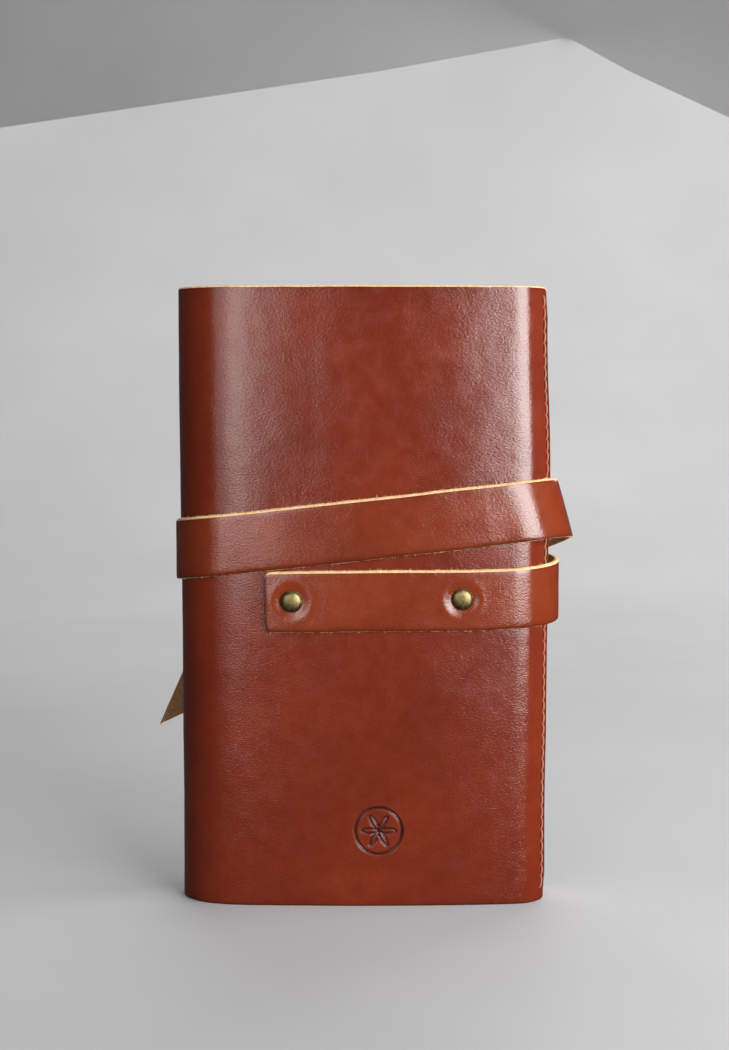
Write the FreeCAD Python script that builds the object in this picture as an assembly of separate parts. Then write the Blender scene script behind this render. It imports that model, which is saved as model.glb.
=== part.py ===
import FreeCAD, Part
import math
import os

# Leather notebook cover with a wrap-round strap, riveted at one end, around a refillable paper block.
# Millimetres. +X right, +Y towards the front cover, +Z up; the bottom edges of the cover stand on z = 0.

V = FreeCAD.Vector

# ---------------------------------------------------------------- driving dimensions
HEIGHT = 220.0            # cover height
LEATHER = 1.6             # cover and strap leather
SPINE_R = 17.5            # outer radius of the rounded spine
SPINE_X = -48.5           # centre of the spine arc
BULGE = 2.2               # how far the middle of a cover swells past the spine radius
CURL_R = 13.0             # outer radius of the curled fore-edge
CURL_START_X = 54.3       # where the curl begins
CURL_END_DEG = 82.0       # direction turned through at the free edge
SPINE_STRIPS = 2
STRIP_GAP = 0.16

POCKET_T = 1.0            # lining leather of the two pocket strips
POCKET_X0 = 10.0
POCKET_GAP = 0.1
POCKET_Z = (2.5, 218.5)

BLOCK_X = (-54.0, 54.0)   # pages
BLOCK_Z = (5.0, 215.0)
BLOCK_HALF = 13.4
CARD_T = 0.4
REAR_CARD_Y = -15.1       # outer face of the card that sits in the rear pocket
REAR_CARD_X0 = -50.5      # its spine edge, clear of the rounded leather
LINING_T = 0.5
SIGNATURES = 8
SIG_GAP = 0.1

STRAP_W = 21.4
STRAP_GAP = 0.6           # strap to the parts it only goes round
RIVET_RUN_GAP = 0.12      # strap to the cover it is riveted to
STRAP_END_X = -34.8
STRAP_SPLIT_X = 50.0
TURN_X = 51.0             # centre of the turn round the fore-edge
FOLD_TILT = math.radians(15.5)
FOLD_R = 17.9
FOLD_AXIS = (54.6, 134.9)  # x and z of a point on the axis of the tilted fold
BAND_SLOPE = math.radians(6.4)
LIFT = 2.0                # first front run rides over the tucked tail
TAIL_TIP_X = -76.5
TAIL_CUT = 24.0           # how much longer the lower edge is at the pointed end

RIVET_POS = ((-25.75, 109.05), (34.5, 109.8))
CAP_D, CAP_H = 7.7, 1.7
POST_D, POST_HOLE = 2.6, 3.0
BACK_D, BACK_T = 7.0, 0.7

STITCH_PITCH = 4.25
STITCH_Z0 = 4.5
STITCH_COUNT = 50         # spans between holes
THREAD_R = 0.36
HOLE_R = 0.5
SEAM_INSET = 3.6          # seam to free edge, along the leather

# the model is drawn about the middle of the spine arc's own axes, then moved so that the middle of the whole
# footprint, strap and rivets included, is the origin
ORIGIN_X, ORIGIN_Y = -0.2487, 0.6863

# ---------------------------------------------------------------- section geometry
D = SPINE_R + BULGE
BIG_Y = (SPINE_X ** 2 - BULGE ** 2) / (2 * BULGE)   # centre height of the big panel arc
BIG_R = BIG_Y + D
JOIN_X = SPINE_X * BIG_R / (BIG_R - SPINE_R)
JOIN_A = math.degrees(math.atan2(-BIG_Y, SPINE_X))  # angle of the panel joint on the spine arc
SPAN = 360.0 - 2 * abs(JOIN_A)                      # arc of the spine, degrees


def big_y(x, off=0.0):
    """Outer face of the rear panel at x, moved outwards by off (towards -Y)."""
    r = BIG_R + off
    return BIG_Y - math.sqrt(r * r - x * x)


CURL_A0 = math.asin(CURL_START_X / BIG_R)
CURL_C = (CURL_START_X - CURL_R * math.sin(CURL_A0), big_y(CURL_START_X) + CURL_R * math.cos(CURL_A0))


def curl_pt(deg, r):
    a = math.radians(deg)
    return (CURL_C[0] + r * math.sin(a), CURL_C[1] - r * math.cos(a))


def big_pt(x, off):
    """Point on the big arc through the radial line of x."""
    a = math.asin(x / BIG_R)
    r = BIG_R + off
    return (r * math.sin(a), BIG_Y - r * math.cos(a))


def arc(p, q, r):
    return Part.Arc(V(p[0], p[1], 0), V(q[0], q[1], 0), V(r[0], r[1], 0)).toShape()


def line(p, q):
    return Part.makeLine(V(p[0], p[1], 0), V(q[0], q[1], 0))


def extrude(edges, z0, z1):
    w = Part.Wire(Part.__sortEdges__(edges))
    s = Part.Face(w).extrude(V(0, 0, z1 - z0))
    s.translate(V(0, 0, z0))
    return s


def polygon(pts, z0, z1):
    vs = [V(p[0], p[1], z0) for p in pts]
    return Part.Face(Part.makePolygon(vs + [vs[0]])).extrude(V(0, 0, z1 - z0))


def mirror_y(shape):
    return shape.mirror(V(0, 0, 0), V(0, 1, 0))


def one(shape):
    """A clean single solid."""
    s = shape
    if s.ShapeType == "Compound" and len(s.Solids) == 1:
        s = s.Solids[0]
    return s


def save(name, shape):
    if not shape.isValid():
        print("INVALID", name)
    print("%-22s solids %3d  volume %9.1f" % (name, len(shape.Solids), shape.Volume))
    shape = shape.copy()
    shape.translate(V(-ORIGIN_X, -ORIGIN_Y, 0))
    shape.exportStep("parts/%s.step" % name)


def panel(off0, off1, x0, z0, z1, end_deg):
    """Rear panel section between two offsets inward from the outer face."""
    a0 = math.degrees(CURL_A0)
    mid_x = 0.5 * (x0 + CURL_START_X)
    mid_a = 0.5 * (a0 + end_deg)
    o = [big_pt(x0, -off0), big_pt(mid_x, -off0), big_pt(CURL_START_X, -off0)]
    i = [big_pt(x0, -off1), big_pt(mid_x, -off1), big_pt(CURL_START_X, -off1)]
    oc = [curl_pt(mid_a, CURL_R - off0), curl_pt(end_deg, CURL_R - off0)]
    ic = [curl_pt(mid_a, CURL_R - off1), curl_pt(end_deg, CURL_R - off1)]
    edges = [
        arc(*o), arc(o[2], oc[0], oc[1]), line(oc[1], ic[1]),
        arc(ic[1], ic[0], i[2]), arc(i[2], i[1], i[0]), line(i[0], o[0]),
    ]
    return extrude(edges, z0, z1)


os.makedirs("parts", exist_ok=True)

# ---------------------------------------------------------------- covers, pocket strips, seams
gap_ang = math.degrees(STRIP_GAP / 2 / SPINE_R)
panel_x0 = JOIN_X + STRIP_GAP / 2
rear = panel(0.0, LEATHER, panel_x0, 0.0, HEIGHT, CURL_END_DEG)
front = mirror_y(rear)

seam_deg = CURL_END_DEG - math.degrees(SEAM_INSET / CURL_R)
pocket_end = CURL_END_DEG - 1.5
front_pocket = mirror_y(panel(LEATHER + POCKET_GAP, LEATHER + POCKET_GAP + POCKET_T, POCKET_X0,
                              POCKET_Z[0], POCKET_Z[1], pocket_end))

# the rear pocket strip lies on the page side of the card that slides behind it
ro = CURL_R - LEATHER - POCKET_GAP
ri = ro - POCKET_T
y_out = REAR_CARD_Y + CARD_T + 0.1
pts_o = [(POCKET_X0, y_out), (30.0, y_out), (54.2, y_out)] + [curl_pt(a, ro) for a in (30, 40, 50, 60, 70, pocket_end)]
pts_i = [(POCKET_X0, y_out + POCKET_T), (30.0, y_out + POCKET_T), (54.4, y_out + POCKET_T)] + \
        [curl_pt(a, ri) for a in (30, 40, 50, 60, 70, pocket_end)]
rear_pocket = polygon(pts_o + pts_i[::-1], POCKET_Z[0], POCKET_Z[1])

rad = V(math.sin(math.radians(seam_deg)), -math.cos(math.radians(seam_deg)), 0)
tan = V(math.cos(math.radians(seam_deg)), math.sin(math.radians(seam_deg)), 0)
cc = V(CURL_C[0], CURL_C[1], 0)
holes, legs, bars = [], [], []
r_out = CURL_R + THREAD_R + 0.03
r_in = ri - THREAD_R - 0.12
for k in range(STITCH_COUNT + 1):
    z = STITCH_Z0 + k * STITCH_PITCH
    base = cc + rad * (ri - 1.5)
    holes.append(Part.makeCylinder(HOLE_R, CURL_R - ri + 3.0, V(base.x, base.y, z), rad))
    base = cc + rad * r_in
    legs.append(Part.makeCylinder(THREAD_R * 0.97, r_out - r_in, V(base.x, base.y, z), rad))
    if k < STITCH_COUNT:
        for r, s in ((r_out, 1), (r_in, -1)):
            p = cc + rad * (r + s * 0.05) + tan * (0.22 * s)
            q = cc + rad * (r + s * 0.05) - tan * (0.22 * s)
            p = V(p.x, p.y, z - 0.1)
            q = V(q.x, q.y, z + STITCH_PITCH + 0.1)
            d = q - p
            bars.append(Part.makeCylinder(THREAD_R, d.Length, p, d))
drill = Part.makeCompound(holes)
rear = one(rear.cut(drill))
front = one(front.cut(mirror_y(drill)))
rear_pocket = one(rear_pocket.cut(drill))
front_pocket = one(front_pocket.cut(mirror_y(drill)))
thread = legs[0].multiFuse(legs[1:] + bars)
thread = one(thread)

# rivet holes through the rear cover
for x, z in RIVET_POS:
    rear = one(rear.cut(Part.makeCylinder(POST_HOLE / 2, 12.0, V(x, -24.0, z), V(0, 1, 0))))

save("rear_cover", rear)
save("front_cover", front)
save("rear_pocket_strip", rear_pocket)
save("front_pocket_strip", front_pocket)
save("rear_seam_thread", thread)
save("front_seam_thread", mirror_y(thread))

# ---------------------------------------------------------------- spine, in two halves of the same piece
step = SPAN / SPINE_STRIPS
start = JOIN_A + 360.0 if JOIN_A < 0 else JOIN_A   # rear joint, counted the long way round


def spine_pt(deg, r):
    a = math.radians(deg)
    return (SPINE_X + r * math.cos(a), r * math.sin(a))


for k in range(SPINE_STRIPS):
    a1 = start - k * step - gap_ang
    a0 = start - (k + 1) * step + gap_ang
    am = 0.5 * (a0 + a1)
    ro_, ri_ = SPINE_R, SPINE_R - LEATHER
    s = extrude([
        arc(spine_pt(a0, ro_), spine_pt(am, ro_), spine_pt(a1, ro_)), line(spine_pt(a1, ro_), spine_pt(a1, ri_)),
        arc(spine_pt(a1, ri_), spine_pt(am, ri_), spine_pt(a0, ri_)), line(spine_pt(a0, ri_), spine_pt(a0, ro_)),
    ], 0.0, HEIGHT)
    save(("spine_rear_half", "spine_front_half")[k], s)

print("hinge points (x, y):")
for k in range(SPINE_STRIPS + 1):
    p = spine_pt(start - k * step, SPINE_R)
    print("  hinge %d  %.4f %.4f" % (k + 1, p[0] - ORIGIN_X, p[1] - ORIGIN_Y))

# ---------------------------------------------------------------- refill: cards, signatures, spine lining
bx0, bx1 = BLOCK_X
bz0, bz1 = BLOCK_Z
save("refill_rear_card", Part.makeBox(53.5 - REAR_CARD_X0, CARD_T, bz1 - bz0, V(REAR_CARD_X0, REAR_CARD_Y, bz0)))
save("refill_front_card", Part.makeBox(53.5 - bx0, CARD_T, bz1 - bz0, V(bx0, BLOCK_HALF + 0.02, bz0)))
pitch = 2 * BLOCK_HALF / SIGNATURES
for k in range(SIGNATURES):
    y0 = -BLOCK_HALF + k * pitch + SIG_GAP / 2
    y1 = y0 + pitch - SIG_GAP
    if k == 3:
        y1 -= 0.1
    if k == 4:
        y0 += 0.1
    r = 0.5 * (y1 - y0)
    s = extrude([
        line((bx0 + r, y0), (bx1, y0)), line((bx1, y0), (bx1, y1)), line((bx1, y1), (bx0 + r, y1)),
        arc((bx0 + r, y1), (bx0, y0 + r), (bx0 + r, y0)),
    ], bz0 + 0.5, bz1 - 0.5)
    save("signature_%d" % (k + 1), s)
save("spine_lining_rear", Part.makeBox(LINING_T, BLOCK_HALF - 0.2, bz1 - bz0 - 16, V(bx0 - LINING_T - 0.05, -BLOCK_HALF, bz0 + 8)))
save("spine_lining_front", Part.makeBox(LINING_T, BLOCK_HALF - 0.2, bz1 - bz0 - 16, V(bx0 - LINING_T - 0.05, 0.2, bz0 + 8)))

# ---------------------------------------------------------------- strap
TURN_R = BIG_R - math.hypot(TURN_X, BIG_Y)     # radius of the turn at zero gap
A_TURN = math.atan2(TURN_X, BIG_Y)             # the turn runs from -90 deg + this to 90 deg - this
X_T = TURN_X + TURN_R * math.sin(A_TURN)       # where the big arc meets the turn
L_FLAT = BIG_R * (math.asin(X_T / BIG_R) + math.asin(-JOIN_X / BIG_R))
L_TURN = TURN_R * (math.pi - 2 * A_TURN)
L_SPINE = SPINE_R * math.radians(SPAN)
LOOP = 2 * L_FLAT + L_TURN + L_SPINE
AJ = math.asin(-JOIN_X / BIG_R)


def loop_pt(u, off):
    """Point of the section loop: u runs along the rear to the right, round, back along the front, round the spine."""
    u = u % LOOP
    if u < L_FLAT:
        a = u / BIG_R - AJ
        r = BIG_R + off
        return (r * math.sin(a), BIG_Y - r * math.cos(a))
    u -= L_FLAT
    if u < L_TURN:
        a = -math.pi / 2 + A_TURN + u / TURN_R
        r = TURN_R + off
        return (TURN_X + r * math.cos(a), r * math.sin(a))
    u -= L_TURN
    if u < L_FLAT:
        a = math.asin(X_T / BIG_R) - u / BIG_R
        r = BIG_R + off
        return (r * math.sin(a), -BIG_Y + r * math.cos(a))
    u -= L_FLAT
    a = math.radians(360.0 - start) + u / SPINE_R
    r = SPINE_R + off
    return (SPINE_X + r * math.cos(a), r * math.sin(a))


def u_rear(x):
    return BIG_R * (math.asin(x / BIG_R) + AJ)


def u_front(x):
    return L_FLAT + L_TURN + BIG_R * (math.asin(X_T / BIG_R) - math.asin(x / BIG_R))


def smooth(t):
    t = min(1.0, max(0.0, t))
    return t * t * (3 - 2 * t)


# height of the strap's centre line at a few places of the loop, then straight between them with eased corners
Z_KEYS = [
    (u_rear(STRAP_END_X), 108.7), (u_rear(0.0), 109.2), (u_rear(X_T), 109.9), (u_front(X_T), 115.2),
    (u_front(0.0), 119.8), (u_front(JOIN_X), 124.0), (LOOP + u_rear(JOIN_X) - L_SPINE / 2, 126.2),
    (LOOP, 128.9), (LOOP + u_rear(0.0), 134.4), (LOOP + u_rear(48.0), 139.75),
]


def z_mid(u):
    n = len(Z_KEYS)
    sl = [(Z_KEYS[i + 1][1] - Z_KEYS[i][1]) / (Z_KEYS[i + 1][0] - Z_KEYS[i][0]) for i in range(n - 1)]
    m = [sl[0]] + [0.5 * (sl[i - 1] + sl[i]) for i in range(1, n - 1)] + [math.tan(BAND_SLOPE)]
    for i in range(n - 1):
        if u <= Z_KEYS[i + 1][0] or i == n - 2:
            u0, z0 = Z_KEYS[i]
            u1, z1 = Z_KEYS[i + 1]
            h = u1 - u0
            t = (u - u0) / h
            return ((2 * t ** 3 - 3 * t ** 2 + 1) * z0 + (t ** 3 - 2 * t ** 2 + t) * h * m[i]
                    + (-2 * t ** 3 + 3 * t ** 2) * z1 + (t ** 3 - t ** 2) * h * m[i + 1])


def gap_at(u):
    """Space between the strap and what it goes round."""
    g = RIVET_RUN_GAP + (STRAP_GAP - RIVET_RUN_GAP) * smooth((u - u_rear(25.0)) / 28.0)
    up = smooth((u - (u_front(X_T) - 14.0)) / 16.0) * (1 - smooth((u - u_front(-30.0)) / 16.0))
    return g + LIFT * up


def loop_station(u):
    du = 0.5
    sl = math.atan2(z_mid(u + du) - z_mid(u - du), 2 * du)
    z = z_mid(u)
    h = STRAP_W / 2
    g = gap_at(u)
    res = []
    for side in (-1, 1):
        uu = u - side * h * math.sin(sl)
        zz = z + side * h * math.cos(sl)
        for off in (g, g + LEATHER):
            x, y = loop_pt(uu, off)
            res.append(V(x, y, zz))
    return res   # bottom inner, bottom outer, top inner, top outer


E = (math.cos(FOLD_TILT), math.sin(FOLD_TILT))     # across the crease
C = (-math.sin(FOLD_TILT), math.cos(FOLD_TILT))    # along the crease
BETA = FOLD_TILT - BAND_SLOPE


def flat_y(x, off):
    if x >= 0:
        t = -big_y(min(x, X_T)) + STRAP_GAP
        return max(FOLD_R, t) + off
    if x > JOIN_X:
        return -big_y(x) + STRAP_GAP + off
    return -big_y(JOIN_X) + STRAP_GAP + off + (x - JOIN_X) * 0.075


def fold_pt(a, b, off):
    """a runs across the crease along the surface from the rear tangent line, b along the crease."""
    if a < 0:
        x = FOLD_AXIS[0] + a * E[0] + b * C[0]
        z = FOLD_AXIS[1] + a * E[1] + b * C[1]
        return V(x, -flat_y(x, off), z)
    half = math.pi * FOLD_R
    if a > half:
        x = FOLD_AXIS[0] - (a - half) * E[0] + b * C[0]
        z = FOLD_AXIS[1] - (a - half) * E[1] + b * C[1]
        return V(x, flat_y(x, off), z)
    t = a / FOLD_R
    rr = FOLD_R + off
    s = rr * math.sin(t)
    return V(FOLD_AXIS[0] + s * E[0] + b * C[0], -rr * math.cos(t), FOLD_AXIS[1] + s * E[1] + b * C[1])


# the fold starts where the loop part leaves off
u_end = LOOP + u_rear(44.0)
x_e, z_e = 44.0, z_mid(u_end)
a_start = (x_e - FOLD_AXIS[0]) * E[0] + (z_e - FOLD_AXIS[1]) * E[1]
b_start = (x_e - FOLD_AXIS[0]) * C[0] + (z_e - FOLD_AXIS[1]) * C[1]


def fold_station(s, cut_top=0.0):
    h = STRAP_W / 2
    res = []
    for side in (-1, 1):
        ss = s - (cut_top if side > 0 else 0.0)
        a = a_start + ss * math.cos(BETA) + side * h * math.sin(BETA)
        b = b_start - ss * math.sin(BETA) + side * h * math.cos(BETA)
        for off in (0.0, LEATHER):
            res.append(fold_pt(a, b, off))
    return res


def loft(stations):
    """Closed solid through rectangular sections, with ruled sides and flat ends."""
    faces = []
    rows = [(bi, bo, to, ti) for bi, bo, ti, to in stations]
    for p, q in zip(rows[:-1], rows[1:]):
        for i in range(4):
            j = (i + 1) % 4
            faces.append(Part.makeRuledSurface(Part.makeLine(p[i], p[j]), Part.makeLine(q[i], q[j])))
    for r in (rows[0], rows[-1]):
        faces.append(Part.Face(Part.makePolygon([r[0], r[1], r[2], r[0]])))
        faces.append(Part.Face(Part.makePolygon([r[0], r[2], r[3], r[0]])))
    shell = Part.makeShell(faces)
    shell.sewShape()
    s = Part.makeSolid(shell)
    if s.Volume < 0:
        s.reverse()
    return s


def spaced(a, b, n):
    return [a + (b - a) * i / n for i in range(n + 1)]


us = spaced(u_rear(STRAP_END_X), u_rear(STRAP_SPLIT_X), 12)
riveted = loft([loop_station(u) for u in us])
for x, z in RIVET_POS:
    riveted = one(riveted.cut(Part.makeCylinder(POST_HOLE / 2, 12.0, V(x, -26.0, z), V(0, 1, 0))))
save("strap_riveted_end", riveted)

us = (spaced(u_rear(STRAP_SPLIT_X) + 0.05, u_rear(X_T), 2) + spaced(u_rear(X_T), u_front(X_T), 16)[1:]
      + spaced(u_front(X_T), u_front(JOIN_X), 22)[1:] + spaced(u_front(JOIN_X), LOOP, 18)[1:]
      + spaced(LOOP, u_end, 10)[1:])
st = [loop_station(u) for u in us]
# along the fold: from the loop's end, round the crease, to the pointed tail
half = math.pi * FOLD_R
s1 = (half - a_start) / math.cos(BETA)
z_tip_s = None
lo, hi = s1, s1 + 260.0
for _ in range(60):
    m = 0.5 * (lo + hi)
    if fold_station(m)[0].x > TAIL_TIP_X:
        lo = m
    else:
        hi = m
s_tip = lo
fs = spaced(0.0, -a_start / math.cos(BETA) - 2.5, 3)[1:] + spaced(-a_start / math.cos(BETA) - 2.5, s1 + 2.5, 26)[1:] \
    + spaced(s1 + 2.5, s_tip - TAIL_CUT - 1.0, 20)[1:]
st += [fold_station(s) for s in fs]
st.append(fold_station(s_tip, TAIL_CUT))
wrap = loft(st)
save("strap_wrap", wrap)
print("tail tip", fold_station(s_tip, TAIL_CUT)[0], "upper corner", fold_station(s_tip, TAIL_CUT)[2])
print("strap length %.1f + %.1f" % (u_end - u_rear(STRAP_END_X), s_tip))

# ---------------------------------------------------------------- rivets: domed caps outside, posts with flat heads inside
caps, posts = [], []
for x, z in RIVET_POS:
    ys = big_y(x, RIVET_RUN_GAP + LEATHER)         # outer face of the strap here
    yc = ys - 0.33                                 # the cap is square to Y, so its rim just clears the curved strap
    rs = (CAP_D ** 2 / 4 + (CAP_H - 0.5) ** 2) / (2 * (CAP_H - 0.5))
    disc = Part.makeCylinder(CAP_D / 2, CAP_H + 1, V(x, yc, z), V(0, -1, 0))
    ball = Part.makeSphere(rs, V(x, yc - CAP_H + rs, z))
    cap = disc.common(ball)
    socket = Part.makeCylinder(POST_D / 2 + 0.05, 0.9, V(x, yc + 0.01, z), V(0, -1, 0))
    caps.append(one(cap.cut(socket)))
    yi = big_y(x, -LEATHER) + 0.25                 # just inside the inner face of the cover
    post = Part.makeCylinder(POST_D / 2, yi - (yc - 0.8), V(x, yi, z), V(0, -1, 0))
    head = Part.makeCylinder(BACK_D / 2, BACK_T, V(x, yi, z), V(0, 1, 0))
    posts.append(one(post.fuse(head)))
save("rivet_caps", Part.makeCompound(caps))
save("rivet_posts", Part.makeCompound(posts))
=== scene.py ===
import bpy
import math
import numpy as np
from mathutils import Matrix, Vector


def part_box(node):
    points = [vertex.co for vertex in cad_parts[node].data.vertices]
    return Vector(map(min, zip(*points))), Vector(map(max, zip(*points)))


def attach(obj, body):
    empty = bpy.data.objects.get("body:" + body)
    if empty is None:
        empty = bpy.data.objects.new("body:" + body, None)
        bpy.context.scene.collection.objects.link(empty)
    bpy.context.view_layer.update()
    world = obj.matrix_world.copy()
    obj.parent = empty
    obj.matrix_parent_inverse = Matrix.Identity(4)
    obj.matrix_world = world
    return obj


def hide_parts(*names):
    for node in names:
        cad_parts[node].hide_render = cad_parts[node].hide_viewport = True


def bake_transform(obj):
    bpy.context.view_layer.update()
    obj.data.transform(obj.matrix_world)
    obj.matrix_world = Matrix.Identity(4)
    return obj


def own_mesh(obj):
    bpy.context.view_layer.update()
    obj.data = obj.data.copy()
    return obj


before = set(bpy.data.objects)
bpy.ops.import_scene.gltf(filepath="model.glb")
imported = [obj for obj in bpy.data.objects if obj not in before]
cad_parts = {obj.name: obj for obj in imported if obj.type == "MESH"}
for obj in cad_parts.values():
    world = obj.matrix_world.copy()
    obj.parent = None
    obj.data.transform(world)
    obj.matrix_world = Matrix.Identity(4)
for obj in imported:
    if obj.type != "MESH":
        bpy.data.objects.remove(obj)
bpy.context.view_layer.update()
rng = np.random.default_rng(11)

# ------------------------------------------------------------------ dimensions, mm (as the frame's)
H = 220.0
T = 1.6
SPINE_R, SPINE_X, BULGE = 17.5, -48.5, 2.2
CURL_R, CURL_X, CURL_END = 13.0, 54.3, 73.0
STRAP_W, GAP, RIV_GAP = 21.4, 0.6, 0.12
STRAP_END_X, SPLIT_X, TURN_X = -34.8, 50.0, 51.0
FOLD_TILT, FOLD_R, FOLD_AXIS = math.radians(15.5), 17.9, (54.6, 134.9)
BAND_SLOPE, LIFT, TAIL_TIP_X, TAIL_CUT = math.radians(6.4), 2.0, -76.5, 24.0
RIVETS = ((-25.75, 109.05), (34.5, 109.8))
PITCH, ST_Z0, ST_N, SEAM_IN = 4.25, 4.5, 50, 3.6
# the footprint's middle is the origin, so the drawing frame is found from the rear cover's own box
lo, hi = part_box("rear_cover")
SX = lo[0] * 1000 + 50.0044
SY = lo[1] * 1000 + 19.70
D = SPINE_R + BULGE
BIG_Y = (SPINE_X ** 2 - BULGE ** 2) / (2 * BULGE)
BIG_R = BIG_Y + D
JOIN_X = SPINE_X * BIG_R / (BIG_R - SPINE_R)
JOIN_A = math.degrees(math.atan2(-BIG_Y, SPINE_X))
SPAN = 360.0 - 2 * abs(JOIN_A)
START = JOIN_A + 360.0


def big_y(x, off=0.0):
    r = BIG_R + off
    return BIG_Y - math.sqrt(r * r - x * x)


CURL_A0 = math.asin(CURL_X / BIG_R)
CURL_C = (CURL_X - CURL_R * math.sin(CURL_A0), big_y(CURL_X) + CURL_R * math.cos(CURL_A0))
AJ = math.asin(-JOIN_X / BIG_R)


def smooth(t):
    t = np.clip(t, 0.0, 1.0)
    return t * t * (3 - 2 * t)


def row(p):
    """Drawing frame in mm to the row frame in metres."""
    p = np.asarray(p, float)
    return (p + np.array([SX, SY, 0.0])) * 0.001


# ------------------------------------------------------------------ smooth seeded noise
def lattice(shape, seed):
    return np.random.default_rng(seed).uniform(-1, 1, shape)


def noise2(a, b, scale, seed):
    """Smooth noise of two arrays, cells of the given size in mm."""
    g = lattice((97, 97), seed)
    a, b = np.asarray(a) / scale + 1000.0, np.asarray(b) / scale + 1000.0
    i, j = np.floor(a).astype(int), np.floor(b).astype(int)
    fa, fb = a - i, b - j
    fa, fb = fa * fa * (3 - 2 * fa), fb * fb * (3 - 2 * fb)
    q = lambda x, y: g[x % 97, y % 97]
    return (q(i, j) * (1 - fa) + q(i + 1, j) * fa) * (1 - fb) + (q(i, j + 1) * (1 - fa) + q(i + 1, j + 1) * fa) * fb


# ------------------------------------------------------------------ materials
class Mat:
    def __init__(self, name):
        self.m = bpy.data.materials.new(name)
        self.m.use_nodes = True
        self.t = self.m.node_tree
        self.t.nodes.clear()
        self.out = self.t.nodes.new("ShaderNodeOutputMaterial")
        self.b = self.t.nodes.new("ShaderNodeBsdfPrincipled")
        self.t.links.new(self.b.outputs[0], self.out.inputs[0])

    def node(self, kind, **kw):
        n = self.t.nodes.new(kind)
        for k, v in kw.items():
            setattr(n, k, v)
        return n

    def put(self, sock, v):
        if isinstance(v, bpy.types.NodeSocket):
            self.t.links.new(v, sock)
        else:
            sock.default_value = v

    def attr(self, name="gc"):
        n = self.node("ShaderNodeAttribute", attribute_name=name)
        return n.outputs["Vector"]

    def attrf(self, name):
        n = self.node("ShaderNodeAttribute", attribute_name=name)
        return n.outputs["Fac"]

    def objmm(self):
        n = self.node("ShaderNodeTexCoord")
        return self.vmath("MULTIPLY", n.outputs["Object"], (1000.0, 1000.0, 1000.0))

    def vmath(self, op, a, b):
        n = self.node("ShaderNodeVectorMath", operation=op)
        self.put(n.inputs[0], a)
        self.put(n.inputs[1], b)
        return n.outputs[0]

    def math(self, op, a, b=0.0, c=0.0, clamp=False):
        n = self.node("ShaderNodeMath", operation=op, use_clamp=clamp)
        self.put(n.inputs[0], a)
        self.put(n.inputs[1], b)
        if len(n.inputs) > 2:
            self.put(n.inputs[2], c)
        return n.outputs[0]

    def noise(self, vec, scale, detail=3.0, rough=0.55, dist=0.0):
        n = self.node("ShaderNodeTexNoise")
        self.put(n.inputs["Vector"], vec)
        n.inputs["Scale"].default_value = scale
        n.inputs["Detail"].default_value = detail
        n.inputs["Roughness"].default_value = rough
        n.inputs["Distortion"].default_value = dist
        return n.outputs[0]

    def voronoi(self, vec, scale, feature="F1", rand=1.0):
        n = self.node("ShaderNodeTexVoronoi", feature=feature)
        self.put(n.inputs["Vector"], vec)
        n.inputs["Scale"].default_value = scale
        n.inputs["Randomness"].default_value = rand
        return n.outputs["Distance"]

    def ramp(self, fac, stops):
        n = self.node("ShaderNodeValToRGB")
        self.put(n.inputs[0], fac)
        e = n.color_ramp.elements
        while len(e) > 1:
            e.remove(e[0])
        e[0].position, e[0].color = stops[0][0], (*stops[0][1], 1) if len(stops[0][1]) == 3 else stops[0][1]
        for p, c in stops[1:]:
            x = e.new(p)
            x.color = (*c, 1)
        return n.outputs[0]

    def mix(self, fac, a, b, blend="MIX"):
        n = self.node("ShaderNodeMix", data_type="RGBA", blend_type=blend)
        self.put(n.inputs[0], fac)
        for i, v in ((6, a), (7, b)):
            self.put(n.inputs[i], (*v, 1.0) if isinstance(v, tuple) and len(v) == 3 else v)
        return n.outputs[2]

    def map(self, v, a, b, c, d):
        n = self.node("ShaderNodeMapRange")
        self.put(n.inputs[0], v)
        for i, x in zip((1, 2, 3, 4), (a, b, c, d)):
            n.inputs[i].default_value = x
        return n.outputs[0]

    def bump(self, height, strength, dist, normal=None):
        n = self.node("ShaderNodeBump")
        n.inputs["Strength"].default_value = strength
        n.inputs["Distance"].default_value = dist
        self.put(n.inputs["Height"], height)
        if normal is not None:
            self.put(n.inputs["Normal"], normal)
        return n.outputs[0]


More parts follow.
